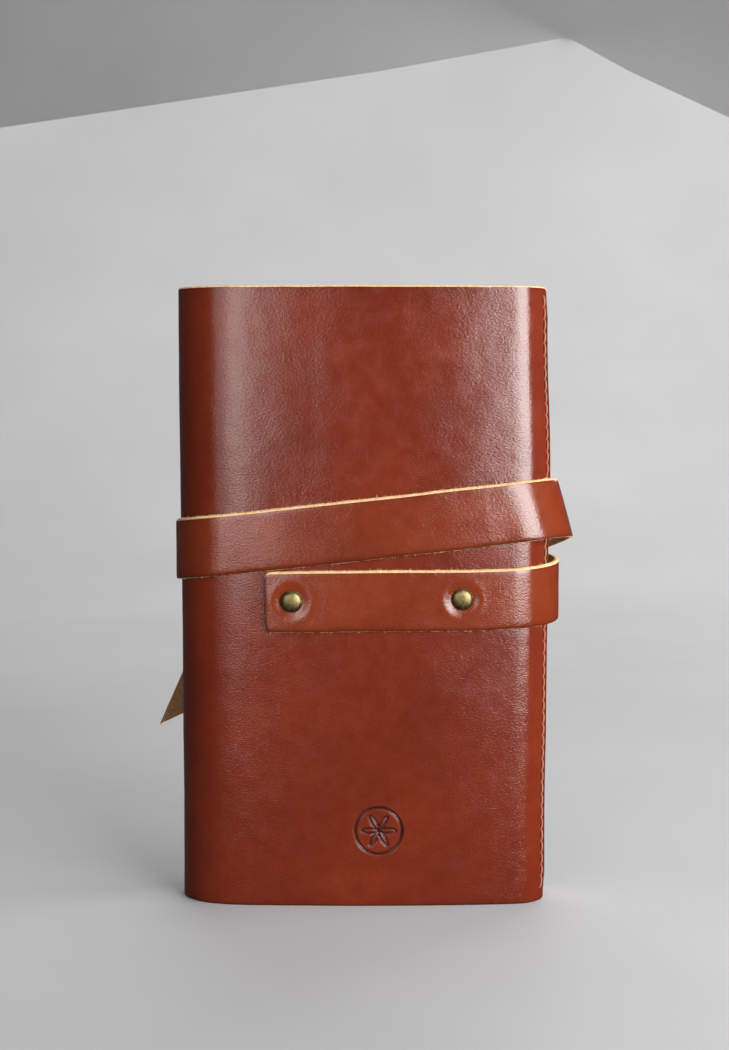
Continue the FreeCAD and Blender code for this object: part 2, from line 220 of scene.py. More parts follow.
def leather_material(name, dark, mid, light, rough=0.36, grain=1.0, stamp=True):
    m = Mat(name)
    v = m.attr()
    big = m.noise(v, 0.022, 4.0, 0.55, 0.4)
    med = m.noise(v, 0.16, 4.0, 0.6, 0.3)
    fine = m.noise(v, 1.3, 3.0, 0.6)
    blotch = m.math("ADD", m.math("MULTIPLY", big, 0.62), m.math("MULTIPLY", med, 0.28))
    blotch = m.math("ADD", blotch, m.math("MULTIPLY", fine, 0.10))
    col = m.ramp(blotch, [(0.34, dark), (0.5, mid), (0.66, light)])
    # fine pores, darker at their bottoms
    pore = m.voronoi(v, 1.5)
    pore_m = m.map(pore, 0.0, 0.32, 1.0, 0.0)
    col = m.mix(m.math("MULTIPLY", pore_m, 0.16), col, tuple(c * 0.45 for c in dark))
    # long faint scratches, both ways
    sv = m.vmath("MULTIPLY", v, (1.1, 0.045, 1.0))
    s1 = m.map(m.noise(sv, 1.0, 2.0, 0.5, 0.6), 0.665, 0.70, 0.0, 1.0)
    sv2 = m.vmath("MULTIPLY", v, (0.05, 0.8, 1.0))
    s2 = m.map(m.noise(sv2, 1.0, 2.0, 0.5, 0.9), 0.68, 0.71, 0.0, 1.0)
    scr = m.math("MAXIMUM", s1, s2)
    scr = m.math("MULTIPLY", scr, m.map(m.noise(v, 0.06, 2.0), 0.45, 0.62, 0.0, 1.0))
    col = m.mix(m.math("MULTIPLY", scr, 0.07), col, tuple(min(1.0, c * 1.55) for c in light))
    # shallow natural wrinkles
    wr = m.noise(m.vmath("MULTIPLY", v, (0.32, 0.11, 1.0)), 1.0, 3.0, 0.5, 1.2)
    wrm = m.math("MULTIPLY", m.map(wr, 0.35, 0.65, 0.0, 1.0), m.map(m.noise(v, 0.035, 2.0), 0.48, 0.62, 0.0, 1.0))
    if stamp:
        st = m.attrf("stamp")
        col = m.mix(m.math("MULTIPLY", st, 0.85), col, tuple(c * 0.18 for c in dark))
    # darkened, waxed burnish next to the cut edges, with painted shade in the stitch holes and on the strap's lower
    # corners
    burnish_and_shade = m.attrf("rim")
    col = m.mix(m.math("MULTIPLY", burnish_and_shade, 0.55), col, tuple(c * 0.5 for c in dark))
    m.put(m.b.inputs["Base Color"], col)
    r = m.math("ADD", m.map(med, 0.3, 0.7, rough - 0.03, rough + 0.045), m.math("MULTIPLY", scr, 0.03))
    r = m.math("ADD", r, m.math("MULTIPLY", pore_m, 0.04))
    m.put(m.b.inputs["Roughness"], r)
    m.b.inputs["Specular IOR Level"].default_value = 0.52
    m.b.inputs["Coat Weight"].default_value = 0.10
    m.b.inputs["Coat Roughness"].default_value = 0.13
    g1 = m.math("SUBTRACT", m.voronoi(v, 2.3, "DISTANCE_TO_EDGE"), m.math("MULTIPLY", pore_m, 0.35))
    g2 = m.noise(v, 0.7, 4.0, 0.62)
    hgt = m.math("ADD", m.math("MULTIPLY", g1, 0.5), m.math("MULTIPLY", g2, 0.9))
    n0 = m.bump(hgt, 0.50 * grain, 0.00007)
    peb = m.noise(m.vmath("MULTIPLY", v, (1.05, 1.9, 1.0)), 1.0, 1.5, 0.55, 0.3)
    n1 = m.bump(peb, 0.66 * grain, 0.00010, n0)
    h2 = m.math("ADD", m.math("MULTIPLY", wrm, 0.12), m.math("MULTIPLY", scr, -0.12))
    n2 = m.bump(h2, 0.5, 0.00007, n1)
    n3 = m.bump(m.noise(v, 0.09, 2.0, 0.5), 0.22, 0.0005, n2)
    m.put(m.b.inputs["Normal"], n3)
    return m.m


def edge_material(name, pale, warm, deep):
    m = Mat(name)
    v = m.attr()
    a = m.noise(v, 1.1, 4.0, 0.65, 0.5)
    b = m.noise(m.vmath("MULTIPLY", v, (0.35, 0.35, 4.0)), 2.2, 4.0, 0.7)
    f = m.math("ADD", m.math("MULTIPLY", a, 0.55), m.math("MULTIPLY", b, 0.45))
    m.put(m.b.inputs["Base Color"], m.ramp(f, [(0.30, deep), (0.46, warm), (0.6, pale)]))
    m.b.inputs["Roughness"].default_value = 0.9
    m.b.inputs["Specular IOR Level"].default_value = 0.2
    m.b.inputs["Sheen Weight"].default_value = 0.08
    m.put(m.b.inputs["Normal"], m.bump(f, 0.9, 0.00025))
    return m.m


def flesh_material(name, a_, b_, c_, scale=1.0):
    m = Mat(name)
    v = m.attr()
    n1 = m.noise(v, 0.9 * scale, 5.0, 0.7, 0.6)
    n2 = m.noise(v, 0.08, 3.0, 0.6)
    f = m.math("ADD", m.math("MULTIPLY", n1, 0.7), m.math("MULTIPLY", n2, 0.3))
    col = m.ramp(f, [(0.34, c_), (0.5, b_), (0.66, a_)])
    sp = m.map(m.voronoi(v, 0.55), 0.0, 0.14, 1.0, 0.0)
    col = m.mix(m.math("MULTIPLY", sp, 0.6), col, tuple(x * 0.35 for x in c_))
    m.put(m.b.inputs["Base Color"], col)
    m.b.inputs["Roughness"].default_value = 0.95
    m.b.inputs["Specular IOR Level"].default_value = 0.15
    m.b.inputs["Sheen Weight"].default_value = 0.04
    m.b.inputs["Sheen Roughness"].default_value = 0.6
    m.put(m.b.inputs["Normal"], m.bump(f, 0.8, 0.0003))
    return m.m


def thread_material():
    m = Mat("waxed_thread")
    v = m.attr()
    w = m.node("ShaderNodeTexWave", wave_type="BANDS", bands_direction="DIAGONAL")
    m.put(w.inputs["Vector"], v)
    w.inputs["Scale"].default_value = 1.6
    w.inputs["Distortion"].default_value = 1.0
    f = m.math("ADD", m.math("MULTIPLY", w.outputs[1], 0.6), m.math("MULTIPLY", m.noise(v, 2.5, 2.0), 0.4))
    m.put(m.b.inputs["Base Color"], m.ramp(f, [(0.25, (0.17, 0.045, 0.02)), (0.7, (0.38, 0.13, 0.065))]))
    m.b.inputs["Roughness"].default_value = 0.6
    m.b.inputs["Sheen Weight"].default_value = 0.2
    m.put(m.b.inputs["Normal"], m.bump(f, 0.8, 0.00012))
    return m.m


def brass_material():
    m = Mat("antique_brass")
    v = m.objmm()
    a = m.noise(v, 0.9, 5.0, 0.65, 0.4)
    b = m.noise(v, 6.0, 3.0, 0.6)
    f = m.math("ADD", m.math("MULTIPLY", a, 0.65), m.math("MULTIPLY", b, 0.35))
    m.put(m.b.inputs["Base Color"], m.ramp(f, [(0.32, (0.085, 0.060, 0.025)), (0.5, (0.20, 0.150, 0.066)), (0.68, (0.33, 0.265, 0.135))]))
    m.b.inputs["Metallic"].default_value = 1.0
    m.put(m.b.inputs["Roughness"], m.map(a, 0.3, 0.7, 0.33, 0.50))
    m.put(m.b.inputs["Normal"], m.bump(b, 0.35, 0.00005))
    return m.m


def paper_material():
    m = Mat("cream_paper")
    v = m.attr()
    lines = m.noise(m.vmath("MULTIPLY", v, (0.12, 9.0, 0.12)), 1.0, 3.0, 0.7)
    sp = m.noise(v, 0.8, 4.0, 0.6)
    f = m.math("ADD", m.math("MULTIPLY", lines, 0.65), m.math("MULTIPLY", sp, 0.35))
    m.put(m.b.inputs["Base Color"], m.ramp(f, [(0.3, (0.55, 0.47, 0.33)), (0.5, (0.78, 0.71, 0.56)), (0.7, (0.86, 0.81, 0.68))]))
    m.b.inputs["Roughness"].default_value = 0.85
    m.b.inputs["Specular IOR Level"].default_value = 0.25
    m.put(m.b.inputs["Normal"], m.bump(f, 0.5, 0.0001))
    return m.m


def kraft_material():
    m = Mat("kraft_card")
    v = m.objmm()
    a = m.noise(v, 0.5, 5.0, 0.7)
    fl = m.map(m.noise(m.vmath("MULTIPLY", v, (1.0, 1.0, 5.0)), 1.3, 2.0, 0.5), 0.6, 0.68, 0.0, 1.0)
    col = m.ramp(a, [(0.3, (0.27, 0.17, 0.085)), (0.6, (0.42, 0.29, 0.155))])
    col = m.mix(m.math("MULTIPLY", fl, 0.45), col, (0.17, 0.10, 0.05))
    m.put(m.b.inputs["Base Color"], col)
    m.b.inputs["Roughness"].default_value = 0.85
    m.put(m.b.inputs["Normal"], m.bump(a, 0.4, 0.0001))
    return m.m


def cloth_material():
    m = Mat("spine_cloth")
    v = m.objmm()
    w1 = m.node("ShaderNodeTexWave", wave_type="BANDS", bands_direction="Z")
    w2 = m.node("ShaderNodeTexWave", wave_type="BANDS", bands_direction="Y")
    for w in (w1, w2):
        m.put(w.inputs["Vector"], v)
        w.inputs["Scale"].default_value = 0.9
        w.inputs["Distortion"].default_value = 0.6
    f = m.math("MULTIPLY", w1.outputs[1], w2.outputs[1])
    m.put(m.b.inputs["Base Color"], m.ramp(f, [(0.0, (0.33, 0.27, 0.18)), (0.7, (0.66, 0.59, 0.45))]))
    m.b.inputs["Roughness"].default_value = 0.9
    m.put(m.b.inputs["Normal"], m.bump(f, 0.7, 0.0002))
    return m.m


COVER = leather_material("cognac_leather", (0.091, 0.0106, 0.0032), (0.111, 0.0134, 0.0040), (0.135, 0.0178, 0.0053), rough=0.165)
STRAP = leather_material("strap_leather", (0.112, 0.0150, 0.0040), (0.135, 0.0195, 0.0050), (0.164, 0.0262, 0.0068), rough=0.165, stamp=False)
LINING = leather_material("pocket_leather", (0.20, 0.055, 0.022), (0.27, 0.085, 0.036), (0.33, 0.115, 0.05), rough=0.55, grain=1.3, stamp=False)
EDGE = edge_material("raw_edge", (0.74, 0.50, 0.28), (0.55, 0.32, 0.145), (0.22, 0.10, 0.04))
FLESH = flesh_material("flesh_side", (0.33, 0.195, 0.087), (0.245, 0.132, 0.055), (0.145, 0.066, 0.026))
THREAD = thread_material()
BRASS = brass_material()
PAPER = paper_material()
KRAFT = kraft_material()
CLOTH = cloth_material()
# near-black stitch-hole material: painted shade for the holes; no mesh uses it
HOLE_SHADE = Mat("stitch_hole_shade")
HOLE_SHADE.b.inputs["Base Color"].default_value = (0.03, 0.008, 0.004, 1)
HOLE_SHADE.put(HOLE_SHADE.b.inputs["Roughness"], HOLE_SHADE.map(HOLE_SHADE.noise(HOLE_SHADE.objmm(), 2.0), 0, 1, 0.7, 1.0))
HOLE_SHADE = HOLE_SHADE.m


# ------------------------------------------------------------------ mesh building
class Build:
    """Collects vertices (drawing frame, mm), faces, material indices, texture coordinates and masks."""

    def __init__(self):
        self.v, self.gc, self.rim, self.stamp, self.nrm = [], [], [], [], []
        self.f, self.mi = [], []
        self.n = 0

    def verts(self, p, gc=None, rim=0.0, stamp=0.0, nrm=None):
        p = np.asarray(p, float).reshape(-1, 3)
        k = len(p)
        self.v.append(p)
        self.gc.append(np.asarray(gc, float).reshape(-1, 3) if gc is not None else p)
        self.rim.append(np.broadcast_to(np.asarray(rim, float).ravel() if np.ndim(rim) else rim, (k,)))
        self.stamp.append(np.broadcast_to(np.asarray(stamp, float).ravel() if np.ndim(stamp) else stamp, (k,)))
        self.nrm.append(np.asarray(nrm, float).reshape(-1, 3) if nrm is not None else np.zeros((k, 3)))
        i = self.n
        self.n += k
        return i

    def grid(self, base, nu, nv, mi, flip=False, wrap_v=False):
        """Quads over an nu by nv block of vertices laid out row by row."""
        i, j = np.meshgrid(np.arange(nu - 1), np.arange(nv if wrap_v else nv - 1), indexing="ij")
        i, j = i.ravel(), j.ravel()
        j2 = (j + 1) % nv
        a, b, c, d = base + i * nv + j, base + (i + 1) * nv + j, base + (i + 1) * nv + j2, base + i * nv + j2
        q = np.stack([a, d, c, b] if flip else [a, b, c, d], 1)
        self.f.append(q)
        self.mi.append(np.full(len(q), mi))

    def faces(self, q, mi):
        q = np.asarray(q)
        self.f.append(q)
        self.mi.append(np.full(len(q), mi) if np.ndim(mi) == 0 else np.asarray(mi))

    def fibres(self, pts, dirs, mi, lmin=0.35, lmax=1.1, r=0.035, seed=1):
        """Small tapered hairs that stand out of a cut edge."""
        g = np.random.default_rng(seed)
        k = len(pts)
        L = g.uniform(lmin, lmax, k) * g.uniform(0.5, 1.0, k)
        d = dirs + g.normal(0, 0.55, (k, 3))
        d /= np.linalg.norm(d, axis=1)[:, None]
        curl = g.normal(0, 0.55, (k, 3))
        side = np.cross(d, np.array([0.3, 0.2, 0.93]))
        side /= np.linalg.norm(side, axis=1)[:, None]
        up = np.cross(d, side)
        rings = []
        for s in (0.0, 0.4, 0.75, 1.0):
            c = pts + d * (L * s)[:, None] + curl * (L * s * s * 0.6)[:, None] - d * 0.08
            rad = r * (1 - 0.8 * s)
            for a in (0, 2.094, 4.189):
                rings.append(c + side * math.cos(a) * rad + up * math.sin(a) * rad)
        P = np.stack(rings, 1)
        gcv = np.repeat(pts[:, None, :], 12, 1)
        b = self.verts(P.reshape(-1, 3), gcv.reshape(-1, 3))
        q, tr = [], []
        idx = b + np.arange(k) * 12
        for s in range(3):
            for a in range(3):
                a2 = (a + 1) % 3
                q.append(np.stack([idx + s * 3 + a, idx + s * 3 + a2, idx + (s + 1) * 3 + a2, idx + (s + 1) * 3 + a], 1))
        self.faces(np.concatenate(q), mi)
        self.faces(np.stack([idx + 9, idx + 10, idx + 11], 1), mi)
        self.faces(np.stack([idx + 2, idx + 1, idx + 0], 1), mi)

    def make(self, name, mats, custom=False, sharp_deg=None):
        v = row(np.concatenate(self.v))
        gc = np.concatenate(self.gc)
        me = bpy.data.meshes.new(name)
        faces = []
        for f in self.f:
            faces.extend(f.tolist())
        me.from_pydata(v.tolist(), [], faces)
        me.polygons.foreach_set("material_index", np.concatenate(self.mi).astype(np.int32))
        me.polygons.foreach_set("use_smooth", np.ones(len(faces), bool))
        for nm, kind, data in (("gc", "FLOAT_VECTOR", gc), ("rim", "FLOAT", np.concatenate(self.rim)), ("stamp", "FLOAT", np.concatenate(self.stamp))):
            at = me.attributes.new(nm, kind, "POINT")
            at.data.foreach_set("vector" if kind == "FLOAT_VECTOR" else "value", data.astype(np.float32).ravel())
        for m in mats:
            me.materials.append(m)
        me.update()
        if sharp_deg is not None:
            me.set_sharp_from_angle(angle=math.radians(sharp_deg))
        if custom:
            nr = np.concatenate(self.nrm)
            have = np.linalg.norm(nr, axis=1) > 0.5
            cn = np.zeros((len(me.loops), 3))
            li = np.zeros(len(me.loops), np.int32)
            me.loops.foreach_get("vertex_index", li)
            sn = np.zeros(len(me.loops) * 3)
            me.corner_normals.foreach_get("vector", sn)
            sn = sn.reshape(-1, 3)
            cn = np.where(have[li][:, None], nr[li], sn)
            me.normals_split_custom_set(cn.tolist())
        ob = bpy.data.objects.new(name, me)
        bpy.context.scene.collection.objects.link(ob)
        return ob


# ------------------------------------------------------------------ the one piece of cover leather, as a grid
L_CURL = CURL_R * (math.radians(CURL_END) - CURL_A0)
L_BIG = BIG_R * (CURL_A0 + AJ)
L_SP = SPINE_R * math.radians(SPAN)
L_ALL = 2 * (L_CURL + L_BIG) + L_SP


def sharp_base(u):
    """Point and outward normal of the outer face at arc length u from the rear fore-edge, as plain arcs."""
    u = np.asarray(u, float)
    x, y, nx, ny = (np.zeros_like(u) for _ in range(4))
    front = u > L_ALL / 2
    w = np.where(front, L_ALL - u, u)
    m1 = w < L_CURL
    a = math.radians(CURL_END) - w / CURL_R
    x = np.where(m1, CURL_C[0] + CURL_R * np.sin(a), x)
    y = np.where(m1, CURL_C[1] - CURL_R * np.cos(a), y)
    nx = np.where(m1, np.sin(a), nx)
    ny = np.where(m1, -np.cos(a), ny)
    m2 = (~m1) & (w < L_CURL + L_BIG)
    a = CURL_A0 - (w - L_CURL) / BIG_R
    x = np.where(m2, BIG_R * np.sin(a), x)
    y = np.where(m2, BIG_Y - BIG_R * np.cos(a), y)
    nx = np.where(m2, np.sin(a), nx)
    ny = np.where(m2, -np.cos(a), ny)
    m3 = ~(m1 | m2)
    a = math.radians(START) - (w - L_CURL - L_BIG) / SPINE_R
    x = np.where(m3, SPINE_X + SPINE_R * np.cos(a), x)
    y = np.where(m3, SPINE_R * np.sin(a), y)
    nx = np.where(m3, np.cos(a), nx)
    ny = np.where(m3, np.sin(a), ny)
    y = np.where(front, -y, y)
    ny = np.where(front, -ny, ny)
    return x, y, nx, ny


def soft_section():
    """The same section with the leather easing into its bends: the turning is spread out, and the middle of the
    spine and the flat of the covers stay where they are."""
    st = 0.1
    uf = np.arange(0, L_ALL / 2 + st / 2, st)
    x, y, nx, ny = sharp_base(np.minimum(uf, L_ALL / 2 - 1e-6))
    th = np.unwrap(np.arctan2(ny, nx))
    th2 = np.concatenate([2 * th[0] - th[1:401][::-1], th, 2 * th[-1] - th[-401:-1][::-1]])
    out = th.copy()
    for sig, lo_u, hi_u in ((7.0, 70.0, 1e9), (1.6, -1.0, 60.0)):
        k = np.arange(-400, 401) * st
        g = np.exp(-0.5 * (k / sig) ** 2)
        g /= g.sum()
        sm = np.convolve(th2, g, "same")[400:400 + len(th)]
        w = smooth((uf - lo_u) / 12.0) if hi_u > 1e8 else 1 - smooth((uf - hi_u + 12) / 12.0)
        out = out * (1 - w) + sm * w
    tx, ty = np.sin(out), -np.cos(out)
    if (tx[10] * (x[20] - x[0]) + ty[10] * (y[20] - y[0])) < 0:
        tx, ty = -tx, -ty
    X = np.concatenate([[0], np.cumsum(0.5 * (tx[1:] + tx[:-1]) * st)])
    Y = np.concatenate([[0], np.cumsum(0.5 * (ty[1:] + ty[:-1]) * st)])
    i = int(75.0 / st)
    X += x[i] - X[i]
    Y += y[i] - Y[i]
    # past the flat, spread what is left over the run up to the middle of the spine
    w = smooth((uf - 88.0) / (uf[-1] - 88.0)) * 0 + np.clip((uf - 88.0) / (uf[-1] - 88.0), 0, 1)
    X += (x[-1] - X[-1]) * w
    Y += (0.0 - Y[-1]) * w
    return uf, X, Y, np.cos(out), np.sin(out)


SEC = soft_section()


def cover_base(u):
    u = np.asarray(u, float)
    front = u > L_ALL / 2
    w = np.where(front, L_ALL - u, u)
    x, y, nx, ny = (np.interp(w, SEC[0], c) for c in SEC[1:])
    return x, np.where(front, -y, y), nx, np.where(front, -ny, ny)


U_RX = lambda x: L_CURL + BIG_R * (CURL_A0 - math.asin(x / BIG_R))     # u of a place on the rear cover
STAMP_C = (5.0, 27.0)


def lines(pieces):
    out = []
    for a, b, s in pieces:
        n = max(1, int(round((b - a) / s)))
        out += list(np.linspace(a, b, n + 1)[:-1])
    out.append(pieces[-1][1])
    return np.array(out)


x0s, x1s = U_RX(STAMP_C[0] + 9.8), U_RX(STAMP_C[0] - 9.8)
hing = [L_CURL + L_BIG + k * L_SP / 2 for k in range(3)]
mids = [hing[0] - 11.0, 0.5 * (hing[0] + hing[1]), 0.5 * (hing[1] + hing[2]), hing[2] + 11.0]
sp_pieces = []
for k in range(3):
    sp_pieces.append((mids[k], mids[k + 1], 0.86))
u_lines = lines([(0.0, 0.6, 0.2), (0.6, 2.6, 0.5), (2.6, 4.8, 0.22), (4.8, 18.0, 0.6), (18.0, x0s, 1.7), (x0s, x1s, 0.3),
                 (x1s, mids[0], 1.7)] + sp_pieces + [(mids[3], L_ALL - 18.0, 1.7), (L_ALL - 18.0, L_ALL - 4.8, 0.6),
                 (L_ALL - 4.8, L_ALL - 2.6, 0.22), (L_ALL - 2.6, L_ALL - 0.6, 0.5), (L_ALL - 0.6, L_ALL, 0.2)])
z_lines = lines([(0.0, 0.6, 0.15), (0.6, 1.0, 0.2), (1.0, STAMP_C[1] - 9.8, 0.7), (STAMP_C[1] - 9.8, STAMP_C[1] + 9.8, 0.3),
                 (STAMP_C[1] + 9.8, H - 1.0, 0.7), (H - 1.0, H - 0.6, 0.2), (H - 0.6, H, 0.1)])
NU, NV = len(u_lines), len(z_lines)
U, Z = np.meshgrid(u_lines, z_lines, indexing="ij")


def rosette(x, z):
    """Depth mask, 0 to 1, of a plain six-petal compass rosette in a ring."""
    dx, dz = x - STAMP_C[0], z - STAMP_C[1]
    r = np.hypot(dx, dz)
    d = np.abs(r - 8.3) - 0.42
    R = 6.3
    for k in range(6):
        a = math.pi / 3 * k
        rk = np.hypot(dx - R * math.cos(a), dz - R * math.sin(a))
        dk = np.where(r < R + 0.1, np.abs(rk - R) - 0.30, np.maximum(r - R, 0.3))
        d = np.minimum(d, dk)
    return 1 - smooth((d + 0.18) / 0.42)


def cover_point(U, Z, off):
    """Outer face moved out by off (negative is inwards), with the leather's own unevenness."""
    x, y, nx, ny = cover_base(U)
    edge = np.minimum(U, L_ALL - U)
    # soft, uneven swelling and a few shallow dips
    d = 0.16 * noise2(U, Z, 34.0, 3) + 0.07 * noise2(U, Z, 12.0, 4) + 0.02 * noise2(U, Z, 4.0, 5)
    # the strap holds the middle open; above and below it the free edges curl in a little more
    mid = np.exp(-((Z - 112.0) / 45.0) ** 2)
    swing = smooth((46.0 - edge) / 46.0)
    x = x + (-0.12 + 0.5 * mid + 1.25 * np.exp(-((Z - 160.0) / 26.0) ** 2)) * swing
    cr = smooth((12.0 - Z) / 12.0) + smooth((Z - (H - 12.0)) / 12.0)
    x = x - 0.55 * cr * smooth((16.0 - edge) / 16.0)
    # the spine leans out a little towards the top
    x = x - (1.15 * smooth((Z - 70.0) / 165.0) - 0.05) * smooth((-x - 22.0) / 30.0)
    return np.stack([x + nx * (d + off), y + ny * (d + off), Z], -1)


def trimmed(U, Z):
    """Free corners are rounded off."""
    edge = np.minimum(U, L_ALL - U)
    r = 2.6
    cut = np.where(edge < r, r - np.sqrt(np.maximum(r * r - (r - edge) ** 2, 0)), 0.0)
    up = np.clip((Z - H / 2) / (H / 2), -1, 1)
    near = smooth((np.abs(up) - 0.9) / 0.1)
    wav = 0.10 * noise2(U, Z * 0 + 7.0, 9.0, 21) * smooth((Z - H + 12) / 12.0)
    return Z - np.sign(up) * near * cut + wav - 0.1 * smooth((Z - H + 12) / 12.0)


Zt = trimmed(U, Z)
seam = np.exp(-((np.minimum(U, L_ALL - U) - SEAM_IN) / 0.42) ** 2)
ph = (Z - ST_Z0) / PITCH
in_seam = (Z > ST_Z0 - 0.6) & (Z < ST_Z0 + ST_N * PITCH + 0.6)
pit = np.where(in_seam, seam * np.exp(-((ph - np.round(ph)) * PITCH / 0.42) ** 2), 0.0)
groove = np.where(in_seam, np.exp(-((np.minimum(U, L_ALL - U) - SEAM_IN) / 0.75) ** 2), 0.0)
xr, yr_, _, _ = cover_base(U)
st_mask = np.where(U < L_ALL / 2, rosette(xr, Z), 0.0) * (np.abs(xr - STAMP_C[0]) < 9.7)
swell = np.exp(-(np.abs(np.hypot(xr - STAMP_C[0], Z - STAMP_C[1]) - 9.0) / 1.1) ** 2) * (U < L_ALL / 2) * 0.05
depth = -0.55 * st_mask - 0.16 * groove - 0.45 * pit + swell
# rounded rim of the outer face
rim_d = np.minimum(np.minimum(Zt, H - Zt), np.minimum(U, L_ALL - U))
rd = np.clip(1 - rim_d / 0.55, 0, 1)
depth = depth - 0.42 * (1 - np.sqrt(np.maximum(1 - rd ** 2, 0)))
Pout = cover_point(U, Zt, depth)
Pin = cover_point(U, Zt, -T + 0.0 * U + 0.05 * noise2(U, Z, 2.5, 8))
gu = np.gradient(Pout, axis=0)
gv = np.gradient(Pout, axis=1)
Nout = np.cross(gv, gu)
Nout /= np.linalg.norm(Nout, axis=2)[..., None]
bx, by, bnx, bny = cover_base(U)
flip_sign = np.sign((Nout[..., 0] * bnx + Nout[..., 1] * bny).mean())
Nout *= flip_sign
GCo = np.stack([U, Z, np.zeros_like(U)], -1)
GCi = np.stack([U + 400.0, Z, np.zeros_like(U)], -1)
# darkening mask: burnish near the cut edges, plus painted shade in the stitch holes (the pit term)
RIM_AND_HOLE_SHADE = np.exp(-(rim_d / 0.8) ** 2) + 0.35 * np.exp(-(rim_d / 3.0) ** 2) + 0.8 * pit


def edge_rows(outer, inner, n=4, bulge=0.10, seed=0):
    """Rows between the outer and the inner boundary of a cut edge, evenly spaced on straight lines."""
    rows = []
    g = np.random.default_rng(seed)
    for k in range(1, n):
        t = k / n
        p = outer * (1 - t) + inner * t
        rows.append(p)
    return rows


def cover_piece(name, i0, i1, seed):
    b = Build()
    nu = i1 - i0 + 1
    sl = slice(i0, i1 + 1)
    o = b.verts(Pout[sl], GCo[sl], RIM_AND_HOLE_SHADE[sl], st_mask[sl], Nout[sl])
    # the burnished bevel of the top edge shows the raw leather; the bottom bevel keeps the darker outer leather
    # instead, as painted shade
    mj = np.zeros((nu - 1, NV - 1), int)
    mj[:, NV - 1 - 4:] = 1
    b.grid(o, nu, NV, mj.ravel(), flip=True)
    q = b.verts(Pin[sl], GCi[sl])
    b.grid(q, nu, NV, 2, flip=False)
    # cut edges: top, bottom, and the free edge if there is one; a few rows, then the outer and inner borders
    def strip(po, pi, gc, outward, mi, sd, closed_flip):
        n = 5
        k = len(po)
        P, G = [], []
        g = np.random.default_rng(sd)
        for r in range(n + 1):
            t = r / n
            p = po * (1 - t) + pi * t + outward * (0.13 * math.sin(math.pi * t))
            if 0 < r < n:
                p = p + outward * g.uniform(-0.05, 0.06, (k, 1))
            P.append(p)
            gg = gc.copy()
            gg[:, 2] = t * T
            gg[:, 0] += 900.0
            G.append(gg)
        base = b.verts(np.stack(P, 1), np.stack(G, 1))
        b.grid(base, k, n + 1, mi, flip=closed_flip)
    up = np.array([0, 0, 1.0])
    strip(Pout[sl, -1], Pin[sl, -1], GCo[sl, -1], up, 1, seed + 1, True)
    strip(Pout[sl, 0], Pin[sl, 0], GCo[sl, 0], -up, 1, seed + 2, False)
    for i, fl in ((i0, True), (i1, False)):
        free = i in (0, NU - 1)
        t = np.stack([-bny[i], bnx[i], 0 * bnx[i]], -1)
        if (t[0] @ (Pout[i, NV // 2] - Pout[i + (1 if i == i0 else -1), NV // 2])) < 0:
            t = -t
        strip(Pout[i], Pin[i], GCo[i], t if free else t * 0.0, 1 if free else 2, seed + 3, not fl)
    # hairs along the top edge
    g = np.random.default_rng(seed + 9)
    length = (u_lines[i1] - u_lines[i0])
    k = int(length * 4.0)
    ii = g.uniform(i0, i1, k)
    ia = np.floor(ii).astype(int)
    fr = (ii - ia)[:, None]
    t = g.uniform(0.05, 0.95, (k, 1))
    top = (Pout[ia, -1] * (1 - fr) + Pout[ia + 1, -1] * fr) * (1 - t) + (Pin[ia, -1] * (1 - fr) + Pin[ia + 1, -1] * fr) * t
    sel = g.uniform(0, 1, k) < 0.24
    b.fibres(top[sel] + np.array([0, 0, 0.05]), np.tile(np.array([0, 0, 1.0]), (int(sel.sum()), 1)), 1, 0.3, 0.95, 0.15, seed + 12)
    b.fibres(top + np.array([0, 0, 0.1]), np.tile(np.array([0, 0, 1.0]), (k, 1)), 1, 0.25, 0.9, 0.04, seed + 10)
    return b


PIECES = []
idx = [0] + [int(np.argmin(np.abs(u_lines - m))) for m in mids] + [NU - 1]
chain = ["rear_cover", "spine_rear_half", "spine_front_half", "front_cover"]
for k in range(len(idx) - 1):
    nm = "cover_rear_panel" if k == 0 else ("cover_front_panel" if k == 4 else "cover_spine_%d" % k)
    b = cover_piece(nm, idx[k], idx[k + 1], 100 + 20 * k)
    ob = b.make(nm, [COVER, EDGE, FLESH], custom=True)
    if k == 0:
        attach(ob, "rear_cover")
        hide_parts("rear_cover")
    elif k == 4:
        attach(ob, "front_cover")
        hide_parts("front_cover")
    else:
        s_ = Pout[idx[k], NV // 2]
        e_ = Pout[idx[k + 1], NV // 2]
        s_, e_ = row([s_[0], s_[1], 110.0]), row([e_[0], e_[1], 110.0])
        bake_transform(ob)
        if k <= 2:
            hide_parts(chain[k])

